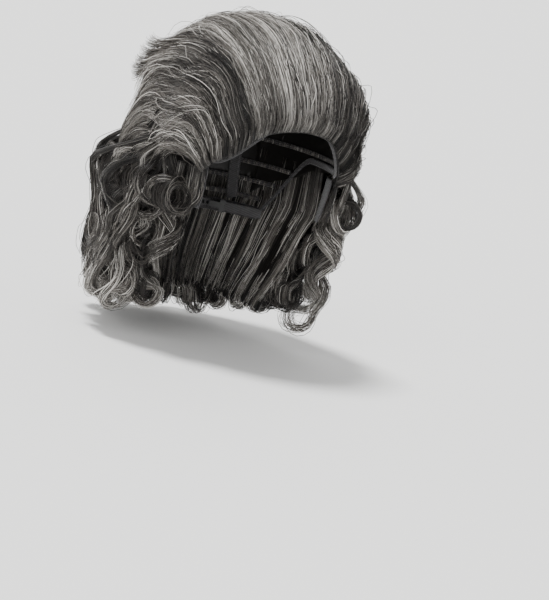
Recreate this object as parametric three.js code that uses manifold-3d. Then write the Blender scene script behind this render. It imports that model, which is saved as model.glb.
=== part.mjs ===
// Costume wig: swept-back, shoulder-length hair with barrel curls, sewn to an open weft cap.
// Millimetres, +Z up, the wearer faces -Y and the wearer's left is +X.
// The origin is the middle of the wearer's head at eye level, where the cap's head space is widest.
import * as THREE from "three";
import { mergeVertices } from "three/addons/utils/BufferGeometryUtils.js";
import Module from "manifold-3d";

const wasm = await Module();
wasm.setup();

// ---- Driving dimensions -------------------------------------------------------------------------

// The head that the cap is cut for: a 57 cm hat size.
const HEAD = { halfWidth: 78, halfDepth: 97, crown: 104, lower: 150, widest: 15 };

// Layers of the cap, as distances out from the head.
const RIBBON = { from: 0, to: 0.7, width: 9 };
const WEFT = { from: 1.5, to: 2.5, height: 4.5 };
const BAND = { from: 0, to: 2.4 };
const NET = { from: 1.5, to: 2.3, rim: 86 };
const HAIR_STARTS = 3.4;
const GAP = 0.4;

// Cap edges, as heights.
const HAIRLINE = { middle: 52, fall: 44, temple: 58, height: 12 };
const NAPE = { from: -58, to: -46, side: 128 };
const EAR = { over: 10, behind: 96 };
const EAR_TAB = { from: 60, to: 73, top: 5, bottom: -38, thick: 1.4 };

// The hair's outline over the head, from the top down to where the curls begin.
const HAIR_OUTLINE = [
  { height: 147, halfWidth: 0, halfDepth: 0, shift: 14 },
  { height: 141, halfWidth: 37, halfDepth: 45, shift: 14 },
  { height: 126, halfWidth: 63, halfDepth: 74, shift: 13 },
  { height: 100, halfWidth: 88, halfDepth: 98, shift: 10 },
  { height: 72, halfWidth: 104, halfDepth: 108, shift: 6 },
  { height: 40, halfWidth: 109, halfDepth: 112, shift: 9 },
  { height: 5, halfWidth: 113, halfDepth: 120, shift: 18 },
  { height: -14, halfWidth: 110, halfDepth: 118, shift: 22 },
  { height: -24, halfWidth: 0, halfDepth: 0, shift: 22 },
];
const FACE = { halfWidth: 72, back: -20, frontEdge: -57, sideTop: 22 };
const PANEL_SPLIT = { side: 48, front: 22, inner: 20, outer: 56, rear: 66 };

// Rows of barrel curls round the sides and back: rolls along an ellipse that falls towards the back.
const CURL_ROWS = [
  { name: "upper", height: -25, drop: 5, halfWidth: 110, halfDepth: 127, shift: 26, count: 6, from: 56, up: 21, out: 17 },
  { name: "middle", height: -70, drop: 30, halfWidth: 98, halfDepth: 110, shift: 36, count: 6, from: 68, up: 20, out: 17 },
  { name: "lower", height: -110, drop: 38, halfWidth: 86, halfDepth: 96, shift: 42, count: 4, from: 63, up: 18, out: 16 },
];
const CURL_SPACE = 2.4;
const CURL_TILT = 3;

// The straight hair that hangs inside the curls, as ellipses from the top down.
const FALL = [
  { height: -0.4, halfWidth: 89, halfDepth: 110, shift: 4 },
  { height: -48, halfWidth: 89, halfDepth: 110, shift: 4 },
  { height: -60, halfWidth: 78, halfDepth: 102, shift: 12 },
  { height: -98, halfWidth: 77, halfDepth: 98, shift: 20 },
  { height: -112, halfWidth: 66, halfDepth: 90, shift: 26 },
  { height: -134, halfWidth: 64, halfDepth: 86, shift: 28 },
];
const FALL_THICK = 6.5;
const FALL_FROM = 86;

const SIDEBURN = { from: 58, to: 76, top: -0.4, bottom: -50, thick: 6 };
const RINGLETS = {
  left: { x: 88, y: -36, top: -53, bottom: -120, radius: 12 },
  right: { x: -80, y: -18, top: -53, bottom: -118, radius: 12 },
};

// The elastic adjusters inside the nape.
const STRAP = { width: 9, thick: 1, root: 124, tip: 157, rootInset: 1.4, tipInset: 8, height: -52 };
const HOOK = { frame: 5, wall: 1.3, clearance: 0.35, reach: 11, wire: 1, lip: 4, drop: 2.4, width: 6 };
const EYES = { count: 3, window: 3, bar: 1.6, height: 7, thick: 0.8, inset: 2.2, from: 165, to: 176 };

// ---- Colours --------------------------------------------------------------------------------------

const HAIR = new THREE.MeshStandardMaterial({ color: 0x5d5854, roughness: 0.5, metalness: 0 });
const CAP_FABRIC = new THREE.MeshStandardMaterial({ color: 0x1d1b1c, roughness: 0.85, metalness: 0 });
const ELASTIC = new THREE.MeshStandardMaterial({ color: 0x242223, roughness: 0.75, metalness: 0 });
const NYLON = new THREE.MeshStandardMaterial({ color: 0x161616, roughness: 0.35, metalness: 0 });
const SPRING_WIRE = new THREE.MeshStandardMaterial({ color: 0x9c9c9c, roughness: 0.3, metalness: 1 });

const wig = new THREE.Group();

function add(name, geometry, material, parent = wig) {
  const mesh = new THREE.Mesh(geometry, material);
  mesh.name = name;
  parent.add(mesh);
  return mesh;
}

// ---- Solids ---------------------------------------------------------------------------------------

function toSolid(geometry) {
  const bare = new THREE.BufferGeometry().setAttribute("position", geometry.getAttribute("position"));
  bare.setIndex(geometry.index);
  const merged = mergeVertices(bare, 1e-3);
  const vertProperties = merged.attributes.position.array;
  const triVerts = new Uint32Array(merged.index.array);
  return new wasm.Manifold(new wasm.Mesh({ numProp: 3, vertProperties, triVerts }));
}

function toGeometry(solid) {
  const { numVert, numProp, vertProperties, triVerts } = solid.getMesh();
  const positions = new Float32Array(numVert * 3);
  for (let i = 0; i < numVert; i++) {
    positions.set(vertProperties.subarray(i * numProp, i * numProp + 3), i * 3);
  }
  const geometry = new THREE.BufferGeometry();
  geometry.setAttribute("position", new THREE.BufferAttribute(positions, 3));
  return geometry.setIndex(new THREE.BufferAttribute(triVerts, 1));
}

function largestBody(solid) {
  return solid.decompose().reduce((best, body) => (body.volume() > best.volume() ? body : best));
}

function box(low, high) {
  const size = high.map((h, i) => h - low[i]);
  const middle = high.map((h, i) => (h + low[i]) / 2);
  return new THREE.BoxGeometry(...size).translate(...middle);
}

// Moves every vertex of a geometry to place(x, y, z).
function reshape(geometry, place) {
  const positions = geometry.getAttribute("position");
  for (let i = 0; i < positions.count; i++) {
    const p = place(positions.getX(i), positions.getY(i), positions.getZ(i));
    positions.setXYZ(i, p.x, p.y, p.z);
  }
  return geometry;
}

// A curved slab: place(u, v, w) takes 0 to 1 along, up and out.
function slab(along, up, place) {
  const block = new THREE.BoxGeometry(1, 1, 1, along, up, 1);
  return reshape(block, (x, y, z) => place(x + 0.5, y + 0.5, z + 0.5));
}

// ---- The head's surface ---------------------------------------------------------------------------

const { lerp, degToRad, clamp, smoothstep } = THREE.MathUtils;

// How much of its full width the head has at a height.
function headShare(height) {
  const reach = height > HEAD.widest ? HEAD.crown : HEAD.lower;
  return Math.sqrt(1 - ((height - HEAD.widest) / reach) ** 2);
}

function onEllipse(angle, halfWidth, halfDepth, shift, height) {
  const a = degToRad(angle);
  return new THREE.Vector3(halfWidth * Math.sin(a), shift - halfDepth * Math.cos(a), height);
}

// Moves a point of the head's surface straight out from it.
function outFrom(point, out) {
  const reach = point.z > HEAD.widest ? HEAD.crown : HEAD.lower;
  const { x, y, z } = point;
  const normal = new THREE.Vector3(x / HEAD.halfWidth ** 2, y / HEAD.halfDepth ** 2, (z - HEAD.widest) / reach ** 2);
  return point.addScaledVector(normal.normalize(), out);
}

// A point at an angle from the front, towards the wearer's left, and a distance out from the head.
function onHead(angle, height, out) {
  const share = headShare(height);
  return outFrom(onEllipse(angle, HEAD.halfWidth * share, HEAD.halfDepth * share, 0, height), out);
}

// A point reached by going over the head from front to back, in a plane set off to one side.
function overHead(side, sweep, out) {
  const share = Math.sqrt(1 - (side / HEAD.halfWidth) ** 2);
  const a = degToRad(sweep);
  const reach = Math.sin(a) > 0 ? HEAD.crown : HEAD.lower;
  const y = -HEAD.halfDepth * share * Math.cos(a);
  return outFrom(new THREE.Vector3(side, y, HEAD.widest + reach * share * Math.sin(a)), out);
}

function headSolid(out) {
  return reshape(new THREE.SphereGeometry(1, 40, 24), (x, y, z) => {
    const reach = y > 0 ? HEAD.crown : HEAD.lower;
    return new THREE.Vector3((HEAD.halfWidth + out) * x, -(HEAD.halfDepth + out) * z, HEAD.widest + (reach + out) * y);
  });
}

// ---- Cap ------------------------------------------------------------------------------------------

// The hairline's height: level over the brow, then falling to the temples.
function hairline(angle) {
  return HAIRLINE.middle - HAIRLINE.fall * smoothstep(Math.abs(angle), HAIRLINE.temple * 0.25, HAIRLINE.temple);
}

// The lower edge of the cap over and behind the ear.
function earEdge(angle) {
  return lerp(EAR.over, NAPE.from, smoothstep(angle, EAR.behind, NAPE.side + 6));
}

function bandOnHead(fromAngle, toAngle, steps, bottom, top, from, to) {
  return slab(steps, 1, (u, v, w) => {
    const angle = lerp(fromAngle, toAngle, u);
    return onHead(angle, lerp(bottom(angle), top(angle), v), lerp(from, to, w));
  });
}

function frontBand() {
  const top = (angle) => hairline(angle) + HAIRLINE.height;
  return bandOnHead(-HAIRLINE.temple, HAIRLINE.temple, 22, hairline, top, BAND.from, BAND.to);
}

function napeBand() {
  const { from, to, side } = NAPE;
  return bandOnHead(side, 360 - side, 18, () => from, () => to, BAND.from, BAND.to);
}

function earBinding(side) {
  const first = HAIRLINE.temple + 2;
  const last = NAPE.side - 1;
  const bottom = (angle) => Math.max(earEdge(Math.abs(angle)), NAPE.from + 1);
  const top = (angle) => bottom(angle) + 6;
  const [a, b] = side > 0 ? [first, last] : [-last, -first];
  return bandOnHead(a, b, 14, bottom, top, BAND.from, BAND.to);
}

function earTab(side) {
  const { from, to, top, bottom, thick } = EAR_TAB;
  const middle = (from + to) / 2;
  return slab(4, 6, (u, v, w) => {
    const taper = 1 - 0.45 * (1 - v) ** 3;
    const angle = side * (middle + (u - 0.5) * side * (to - from) * taper);
    return onHead(angle, lerp(bottom, top, v), lerp(0, thick, w));
  });
}

function earTabStay(side) {
  const { from, to, top, bottom, thick } = EAR_TAB;
  const middle = (side * (from + to)) / 2;
  return slab(1, 5, (u, v, w) => {
    const height = lerp(bottom + 5, top - 4, v);
    return onHead(middle + (u - 0.5) * 2.2, height, thick + GAP + w * 0.8);
  });
}

function capRibbon(side, from, to) {
  return slab(1, 26, (u, v, w) => {
    const edge = side + (u - 0.5) * RIBBON.width;
    return overHead(edge, lerp(from, to, v), lerp(RIBBON.from, RIBBON.to, w));
  });
}

function crownNet() {
  const rim = Math.acos((NET.rim - HEAD.widest) / HEAD.crown);
  const rings = 6;
  const profile = [];
  for (let i = 0; i <= rings; i++) profile.push([i / rings, NET.from]);
  for (let i = rings; i >= 0; i--) profile.push([i / rings, NET.to]);
  const lathe = new THREE.LatheGeometry(profile.map(([share, out]) => new THREE.Vector2(share, out)), 36);
  return reshape(lathe, (x, out, z) => {
    const polar = rim * Math.hypot(x, z);
    const turn = Math.atan2(x, z);
    const across = new THREE.Vector3(HEAD.halfWidth * Math.sin(turn), -HEAD.halfDepth * Math.cos(turn), 0);
    const point = across.multiplyScalar(Math.sin(polar)).setZ(HEAD.widest + HEAD.crown * Math.cos(polar));
    return outFrom(point, out);
  });
}

const WEFT_ROWS = [
  { height: -38, from: 130 },
  { height: -22, from: 121 },
  { height: -5, from: 112 },
  { height: 20, from: 62 },
  { height: 44, from: 47 },
  { height: 70, from: 14 },
];

function weftRow({ height, from }) {
  const half = WEFT.height / 2;
  const steps = Math.round((360 - 2 * from) / 11);
  return bandOnHead(from, 360 - from, steps, () => height - half, () => height + half, WEFT.from, WEFT.to);
}

add("front_band", frontBand(), CAP_FABRIC);
add("crown_net", crownNet(), CAP_FABRIC);
add("cap_ribbon_center", capRibbon(0, 32, 203), ELASTIC);
add("cap_ribbon_left", capRibbon(37, 31, 206), ELASTIC);
add("cap_ribbon_right", capRibbon(-37, 31, 206), ELASTIC);
WEFT_ROWS.forEach((row, i) => add(`weft_row_${i + 1}`, weftRow(row), CAP_FABRIC));
add("nape_band", napeBand(), CAP_FABRIC);

for (const [name, side] of [["left", 1], ["right", -1]]) {
  add(`ear_binding_${name}`, earBinding(side), ELASTIC);
  add(`ear_tab_${name}`, earTab(side), CAP_FABRIC);
  add(`ear_tab_stay_${name}`, earTabStay(side), SPRING_WIRE);
}

// ---- Nape adjusters -------------------------------------------------------------------------------

// A group at one angle of the nape whose +X runs to another, with the head space on its -Y * side.
function acrossNape(side, from, to, startInset, endInset) {
  const start = onHead(side * from, STRAP.height, -startInset);
  const end = onHead(side * to, STRAP.height, -endInset);
  const group = new THREE.Group();
  group.position.copy(start);
  group.rotation.z = Math.atan2(end.y - start.y, end.x - start.x);
  wig.add(group);
  return { group, length: Math.hypot(end.x - start.x, end.y - start.y) };
}

function adjusterHook(end, inward) {
  const { frame, wall, clearance, reach, wire, lip, drop, width } = HOOK;
  const slotY = STRAP.thick / 2 + clearance;
  const slotZ = STRAP.width / 2 + clearance;
  const block = toSolid(box([end - frame, -slotY - wall, -slotZ - wall], [end, slotY + wall, slotZ + wall]));
  const slot = toSolid(box([end - frame - 1, -slotY, -slotZ], [end + 1, slotY, slotZ]));
  const outline = [
    [end - 0.5, slotY + wall],
    [end - 0.5, slotY + 0.3],
    [end + reach - wire, slotY + 0.3],
    [end + reach - wire, slotY + 0.3 - drop + wire],
    [end + reach - lip, slotY + 0.3 - drop + wire],
    [end + reach - lip, slotY + 0.3 - drop],
    [end + reach, slotY + 0.3 - drop],
    [end + reach, slotY + wall],
  ];
  const shape = new THREE.Shape(outline.map(([x, y]) => new THREE.Vector2(x, y)));
  const tongue = new THREE.ExtrudeGeometry(shape, { depth: width, bevelEnabled: false });
  const hook = toGeometry(block.subtract(slot).add(toSolid(tongue.translate(0, 0, -width / 2))));
  return inward > 0 ? hook : hook.rotateX(Math.PI);
}

function eyeTape() {
  const { count, window, bar, height, thick } = EYES;
  const length = count * window + (count + 1) * bar;
  let tape = toSolid(box([0, -thick / 2, -height / 2], [length, thick / 2, height / 2]));
  for (let i = 0; i < count; i++) {
    const left = bar + i * (window + bar);
    tape = tape.subtract(toSolid(box([left, -thick, -height / 4], [left + window, thick, height / 4])));
  }
  return toGeometry(tape);
}

for (const [name, side] of [["left", 1], ["right", -1]]) {
  const { root, tip, rootInset, tipInset, thick, width } = STRAP;
  const adjuster = acrossNape(side, root, tip, rootInset, tipInset);
  const strap = new THREE.BoxGeometry(adjuster.length, thick, width).translate(adjuster.length / 2, 0, 0);
  add(`adjuster_strap_${name}`, strap, ELASTIC, adjuster.group);
  add(`adjuster_hook_${name}`, adjusterHook(adjuster.length, side), NYLON, adjuster.group);
  const eyes = acrossNape(side, EYES.from, EYES.to, EYES.inset, EYES.inset);
  add(`adjuster_eyes_${name}`, eyeTape(), ELASTIC, eyes.group);
}

// ---- Swept-back hair over the head ----------------------------------------------------------------

function hairOutline() {
  const rows = HAIR_OUTLINE.map((r) => new THREE.Vector3(r.halfWidth, r.halfDepth, r.height));
  const profile = new THREE.CatmullRomCurve3(rows, false, "centripetal");
  const shifts = new THREE.SplineCurve(HAIR_OUTLINE.map((r, i) => new THREE.Vector2(i, r.shift)));
  return reshape(new THREE.SphereGeometry(1, 36, 24), (x, y, z) => {
    const t = Math.acos(clamp(y, -1, 1)) / Math.PI;
    const { x: halfWidth, y: halfDepth, z: height } = profile.getPoint(t);
    const across = Math.hypot(x, z);
    const pole = across < 1e-6;
    const sideways = pole ? 0 : (halfWidth * x) / across;
    const back = pole ? 0 : (-halfDepth * z) / across;
    return new THREE.Vector3(sideways, shifts.getPoint(t).y + back, height);
  });
}

// The space for the face: up to the hairline, and in front of the side hair's front edge.
function faceSpace() {
  const outline = new THREE.Shape();
  const low = HAIR_OUTLINE.at(-1).height - 10;
  outline.moveTo(-FACE.halfWidth, low);
  outline.lineTo(FACE.halfWidth, low);
  for (let angle = HAIRLINE.temple + 6; angle >= -HAIRLINE.temple - 6; angle -= 8) {
    const { x, z } = onHead(angle, hairline(angle) - GAP, HAIR_STARTS + 2);
    outline.lineTo(x, z);
  }
  outline.closePath();
  const deep = new THREE.ExtrudeGeometry(outline, { depth: 200, bevelEnabled: false });
  deep.rotateX(Math.PI / 2).translate(0, FACE.back, 0);
  const front = box([-200, -200, low], [200, FACE.frontEdge, FACE.sideTop]);
  return toSolid(deep).add(toSolid(front));
}

const hairShell = toSolid(hairOutline()).subtract(toSolid(headSolid(HAIR_STARTS))).subtract(faceSpace());

function panel(name, low, high) {
  const half = GAP / 2;
  const inset = low.map((l, i) => [l + half, high[i] - half]);
  const cell = toSolid(box(inset.map((r) => r[0]), inset.map((r) => r[1])));
  add(name, toGeometry(largestBody(hairShell.intersect(cell)).simplify(0.05)), HAIR);
}

const FAR = 300;
const { side: sideTop, front, inner, outer, rear } = PANEL_SPLIT;
panel("hair_quiff_center", [-inner, -FAR, sideTop], [inner, front, FAR]);
panel("hair_crown_center", [-inner, front, sideTop], [inner, FAR, FAR]);
for (const [name, side] of [["left", 1], ["right", -1]]) {
  const across = (a, b) => (side > 0 ? [a, b] : [-b, -a]);
  const cell = (key, x, y, z) => {
    const [x0, x1] = across(...x);
    panel(`hair_${key}_${name}`, [x0, y[0], z[0]], [x1, y[1], z[1]]);
  };
  cell("quiff", [inner, outer], [-FAR, front], [sideTop, FAR]);
  cell("wing", [outer, FAR], [-FAR, front], [sideTop, FAR]);
  cell("crown", [inner, FAR], [front, FAR], [sideTop, FAR]);
  cell("temple", [0, FAR], [-FAR, rear], [0, sideTop]);
  cell("back", [0, FAR], [rear, FAR], [0, sideTop]);
}

// ---- Hair that hangs inside the curls -------------------------------------------------------------

function fall(from, to) {
  const rows = FALL.length - 1;
  return slab(7, rows, (u, v, w) => {
    const { height, halfWidth, halfDepth, shift } = FALL[rows - Math.round(v * rows)];
    const out = (w - 1) * FALL_THICK;
    return onEllipse(lerp(from, to, u), halfWidth + out, halfDepth + out, shift, height);
  });
}

add("hair_fall_left", fall(FALL_FROM, 138), HAIR);
add("hair_fall_back", fall(139, 221), HAIR);
add("hair_fall_right", fall(222, 360 - FALL_FROM), HAIR);

// ---- Barrel curls ---------------------------------------------------------------------------------

const ROLL_PROFILE = [
  [0, -1],
  [0.6, -0.96],
  [0.92, -0.8],
  [1, -0.45],
  [1, 0.45],
  [0.92, 0.8],
  [0.6, 0.96],
  [0, 1],
];

function curl(row, from, to, tilt) {
  const profile = ROLL_PROFILE.map(([r, s]) => new THREE.Vector2(r, s));
  const roll = new THREE.LatheGeometry(profile, 10);
  return reshape(roll, (x, y, z) => {
    const angle = lerp(from, to, (y + 1) / 2);
    return onEllipse(
      angle,
      row.halfWidth + x * row.out,
      row.halfDepth + x * row.out,
      row.shift,
      row.height - (row.drop * (1 - Math.cos(degToRad(angle)))) / 2 + z * row.up + tilt * y,
    );
  });
}

for (const row of CURL_ROWS) {
  const pitch = (360 - 2 * row.from) / row.count;
  for (let i = 0; i < row.count; i++) {
    const start = row.from + i * pitch;
    const tilt = i % 2 ? CURL_TILT : -CURL_TILT;
    const name = `curl_${row.name}_${i + 1}`;
    add(name, curl(row, start + CURL_SPACE / 2, start + pitch - CURL_SPACE / 2, tilt), HAIR);
  }
}

// ---- Hair that frames the face --------------------------------------------------------------------

function sideburn(side) {
  const { from, to, top, bottom, thick } = SIDEBURN;
  const [a, b] = side > 0 ? [from, to] : [-to, -from];
  return slab(3, 5, (u, v, w) => {
    const full = 0.6 + (thick - 0.6) * smoothstep(1 - v, 0, 0.45);
    return onHead(lerp(a, b, u), lerp(bottom, top, v), HAIR_STARTS + w * full);
  });
}

function ringlet({ x, y, top, bottom, radius }) {
  const profile = ROLL_PROFILE.map(([r, s]) => new THREE.Vector2(r, s));
  return reshape(new THREE.LatheGeometry(profile, 10), (px, py, pz) => {
    const t = (py + 1) / 2;
    const width = radius * lerp(0.45, 1, smoothstep(t, 0, 0.5));
    return new THREE.Vector3(x + 3 * Math.sin(t * 2 * Math.PI) + pz * width, y + px * width, lerp(bottom, top, t));
  });
}

for (const [name, side] of [["left", 1], ["right", -1]]) {
  add(`sideburn_lock_${name}`, sideburn(side), HAIR);
  add(`front_ringlet_${name}`, ringlet(RINGLETS[name]), HAIR);
}

export default wig;
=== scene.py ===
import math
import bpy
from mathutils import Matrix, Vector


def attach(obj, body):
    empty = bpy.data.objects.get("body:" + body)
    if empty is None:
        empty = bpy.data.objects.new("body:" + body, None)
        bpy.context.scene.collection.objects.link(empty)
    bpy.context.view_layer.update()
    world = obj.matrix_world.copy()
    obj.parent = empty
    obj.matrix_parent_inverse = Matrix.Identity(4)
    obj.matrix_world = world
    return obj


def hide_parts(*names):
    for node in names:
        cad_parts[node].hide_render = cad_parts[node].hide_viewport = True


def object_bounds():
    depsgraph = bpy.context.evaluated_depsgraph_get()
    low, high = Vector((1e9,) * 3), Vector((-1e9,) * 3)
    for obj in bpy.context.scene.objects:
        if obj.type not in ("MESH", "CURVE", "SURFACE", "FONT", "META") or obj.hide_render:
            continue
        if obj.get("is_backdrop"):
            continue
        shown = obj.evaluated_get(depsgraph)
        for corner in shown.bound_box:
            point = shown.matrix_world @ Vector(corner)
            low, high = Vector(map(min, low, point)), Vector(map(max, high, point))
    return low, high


bl_info = {
    "name": "Swept-Back Costume Wig",
    "version": (1, 0, 0),
    "blender": (4, 5, 0),
    "location": "3D Viewport > Sidebar > Wig",
    "description": "Builds a grey costume wig, combed back into waves and curls, on an open weft cap",
    "category": "Object",
}

import bpy
import numpy as np
from bpy.props import FloatProperty, FloatVectorProperty, PointerProperty
from bpy.types import Operator, Panel, PropertyGroup
from mathutils import Matrix, Vector

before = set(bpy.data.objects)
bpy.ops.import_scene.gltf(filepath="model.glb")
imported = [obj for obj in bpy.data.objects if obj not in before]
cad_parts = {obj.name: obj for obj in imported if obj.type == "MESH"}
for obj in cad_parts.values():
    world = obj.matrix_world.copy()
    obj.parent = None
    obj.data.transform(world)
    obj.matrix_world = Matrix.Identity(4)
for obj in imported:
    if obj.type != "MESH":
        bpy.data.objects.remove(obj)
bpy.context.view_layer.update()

# ---- Sizes in millimetres ---------------------------------------------------------------------------
# +Z is up, -Y is towards the wearer's face and +X towards the wearer's left. Angles go round the head
# in degrees, from 0 at the face through 90 at the wearer's left ear to 180 at the nape.

MM = 0.001
UP = np.array([0.0, 0.0, 1.0])

HEAD = dict(half_width=78.0, half_depth=97.0, crown=104.0, lower=150.0, widest=15.0)
HAIR_STARTS = 4.2
HAIR_MIDDLE = np.array([0.0, 8.0, -8.0])

# The beds, which are the dense hair under the strands: how far they sink into the cap, how deep they
# lie under combed hair, how deep their grooves are, and how ragged their lower edge and how high their
# upper edge is where hair hangs.
BED_SINKS = 0.7
COMBED_BED_DEPTH = 8.0
COMBED_GROOVE, HANGING_GROOVE = 1.1, 0.8
BED_RAGGED, BED_TOP = 4.0, 96

# The outside of the hair: height, half width, half depth, shift back.
HAIR_OUTLINE = np.array([
    (147, 0, 0, 14),
    (141, 37, 45, 14),
    (126, 63, 74, 13),
    (100, 88, 98, 10),
    (72, 104, 108, 6),
    (40, 109, 112, 9),
    (5, 113, 120, 18),
    (-14, 112, 120, 22),
    (-60, 108, 116, 26),
    (-110, 100, 108, 34),
], float)

# The hair that hangs inside the curls: height, half width, half depth, shift back.
FALL_OUTLINE = np.array([
    (16, 90, 108, 4),
    (-40, 89, 110, 4),
    (-70, 80, 103, 12),
    (-100, 74, 97, 20),
    (-140, 64, 86, 28),
], float)

# Lines that the hair is combed along, on the wearer's left, from the middle of the brow (line 0) to the
# top of the ear (line 4). Each runs from the hairline back to the nape side.
COMBING = np.array([
    [(0, -93, 52), (0, -105, 76), (0, -90, 113), (0, -48, 141),
     (0, 12, 147), (0, 72, 130), (0, 112, 84)],
    [(35, -84, 43), (42, -97, 69), (50, -82, 104), (52, -44, 130),
     (50, 12, 137), (46, 66, 122), (42, 108, 78)],
    [(54, -69, 19), (66, -82, 48), (80, -64, 80), (86, -26, 100),
     (84, 20, 106), (76, 68, 92), (64, 106, 62)],
    [(66, -53, 7), (84, -61, 31), (99, -39, 50), (106, -4, 60),
     (106, 36, 50), (95, 76, 26), (80, 106, -2)],
    [(70, -47, -3), (88, -53, 7), (104, -30, 12), (111, 4, 6),
     (110, 40, -8), (99, 78, -26), (82, 106, -48)],
], float)

# The combed waves: how far they lift the hair and push it across, how much of a line one wave takes
# up and where its crest is. The combed ends sag by DROOP into the hair below.
DROOP = 26.0
WAVE = dict(rise=4.6, sway=0.08, length=0.31, crest=0.40)


# ---- Places on the head and in the hair -------------------------------------------------------------

def unit(v):
    return v / np.maximum(np.linalg.norm(v, axis=-1, keepdims=True), 1e-9)


def mix(a, b, share):
    return a + (b - a) * share


def smooth(x, low, high):
    t = np.clip((x - low) / (high - low), 0, 1)
    return t * t * (3 - 2 * t)


def across(a, b):
    """The length of a along b, for each row."""
    return (a * b).sum(-1, keepdims=True)


def out_from(point, out):
    """Moves points on the head outwards, square to it."""
    reach = np.where(point[..., 2] > HEAD["widest"], HEAD["crown"], HEAD["lower"])
    normal = np.stack([
        point[..., 0] / HEAD["half_width"] ** 2,
        point[..., 1] / HEAD["half_depth"] ** 2,
        (point[..., 2] - HEAD["widest"]) / reach ** 2,
    ], -1)
    return point + unit(normal) * np.asarray(out, float)[..., None]


def on_ellipse(angle, half_width, half_depth, shift, height):
    a = np.radians(angle)
    parts = np.broadcast_arrays(half_width * np.sin(a), shift - half_depth * np.cos(a), height)
    return np.stack(parts, -1).astype(float)


def on_head(angle, height, out):
    angle, height = np.broadcast_arrays(np.asarray(angle, float), np.asarray(height, float))
    reach = np.where(height > HEAD["widest"], HEAD["crown"], HEAD["lower"])
    share = np.sqrt(1 - ((height - HEAD["widest"]) / reach) ** 2)
    point = on_ellipse(angle, HEAD["half_width"] * share, HEAD["half_depth"] * share, 0, height)
    return out_from(point, out)


def over_head(side, sweep, out):
    """A point reached by going over the head from front to back, in a plane set off to one side."""
    side, sweep = np.broadcast_arrays(np.asarray(side, float), np.radians(np.asarray(sweep, float)))
    share = np.sqrt(1 - (side / HEAD["half_width"]) ** 2)
    reach = np.where(np.sin(sweep) > 0, HEAD["crown"], HEAD["lower"])
    y = -HEAD["half_depth"] * share * np.cos(sweep)
    z = HEAD["widest"] + reach * share * np.sin(sweep)
    return out_from(np.stack([side, y, z], -1), out)


def on_outline(outline, angle, height, inward):
    """A point at a height on one of the outlines above, moved inward."""
    rows = outline[::-1]
    width, depth, shift = (np.interp(height, rows[:, 0], rows[:, k]) for k in (1, 2, 3))
    return on_ellipse(angle, width - inward, depth - inward, shift, height)


def spline_weights(place, count):
    """The four rows around each place, which runs from 0 to count - 1, and their Catmull-Rom weights."""
    low = np.clip(np.floor(place).astype(int), 0, count - 2)
    f = np.clip(place - low, 0, 1)
    weights = np.stack([
        -0.5 * f + f * f - 0.5 * f ** 3,
        1 - 2.5 * f * f + 1.5 * f ** 3,
        0.5 * f + 2 * f * f - 1.5 * f ** 3,
        -0.5 * f * f + 0.5 * f ** 3,
    ], -1)
    return np.clip(low[..., None] + np.arange(-1, 3), 0, count - 1), weights


def combed(line, back):
    """A point on combing line `line`, negative on the wearer's right, a share `back` along it."""
    lines, steps = COMBING.shape[:2]
    rows, row_weights = spline_weights(np.abs(line), lines)
    columns, column_weights = spline_weights(back * (steps - 1), steps)
    grid = COMBING[rows[..., :, None], columns[..., None, :]]
    weights = row_weights[..., :, None] * column_weights[..., None, :]
    point = (grid * weights[..., None]).sum((-3, -2))
    point[..., 0] = np.maximum(point[..., 0], 0) * np.sign(line)
    return point


def in_outline(point):
    fine = np.linspace(0, len(HAIR_OUTLINE) - 1, 300)
    rows, weights = spline_weights(fine, len(HAIR_OUTLINE))
    outline = (HAIR_OUTLINE[rows] * weights[..., None]).sum(-2)[::-1]
    x, y, z = np.moveaxis(point, -1, 0)
    width, depth, shift = (np.interp(z, outline[:, 0], outline[:, k]) for k in (1, 2, 3))
    ring = (x / np.maximum(width, 0.01)) ** 2 + ((y - shift) / np.maximum(depth, 0.01)) ** 2
    return (z < HAIR_OUTLINE[0, 0]) & (ring < 1)


def in_head(point):
    x, y, z = np.moveaxis(point, -1, 0)
    reach = np.where(z > HEAD["widest"], HEAD["crown"], HEAD["lower"])
    ring = (x / HEAD["half_width"]) ** 2 + (y / HEAD["half_depth"]) ** 2
    return ring + ((z - HEAD["widest"]) / reach) ** 2 < 1


def reach_table(inside, step=2.0, far=220.0):
    """How far from HAIR_MIDDLE each direction goes before it leaves a shape."""
    turns, rises = (np.radians(np.arange(-end, end + step, step)) for end in (180, 90))
    turn, rise = np.meshgrid(turns, rises, indexing="ij")
    direction = np.stack([np.sin(turn) * np.cos(rise), -np.cos(turn) * np.cos(rise), np.sin(rise)], -1)
    low, high = np.zeros(turn.shape), np.full(turn.shape, far)
    for _ in range(20):
        middle = (low + high) / 2
        within = inside(HAIR_MIDDLE + direction * middle[..., None])
        low, high = np.where(within, middle, low), np.where(within, high, middle)
    return low


def reach_of(table, direction):
    """The table's reach in each direction, worked out between its entries."""
    x, y, z = np.moveaxis(direction, -1, 0)
    turn = (np.degrees(np.arctan2(x, -y)) + 180) / 360 * (table.shape[0] - 1)
    rise = (np.degrees(np.arcsin(np.clip(z, -1, 1))) + 90) / 180 * (table.shape[1] - 1)
    i = np.clip(turn.astype(int), 0, table.shape[0] - 2)
    j = np.clip(rise.astype(int), 0, table.shape[1] - 2)
    f, g = turn - i, rise - j
    near = mix(table[i, j], table[i + 1, j], f)
    return mix(near, mix(table[i, j + 1], table[i + 1, j + 1], f), g)


HAIR_REACH = reach_table(in_outline)
HEAD_REACH = reach_table(in_head)


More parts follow.
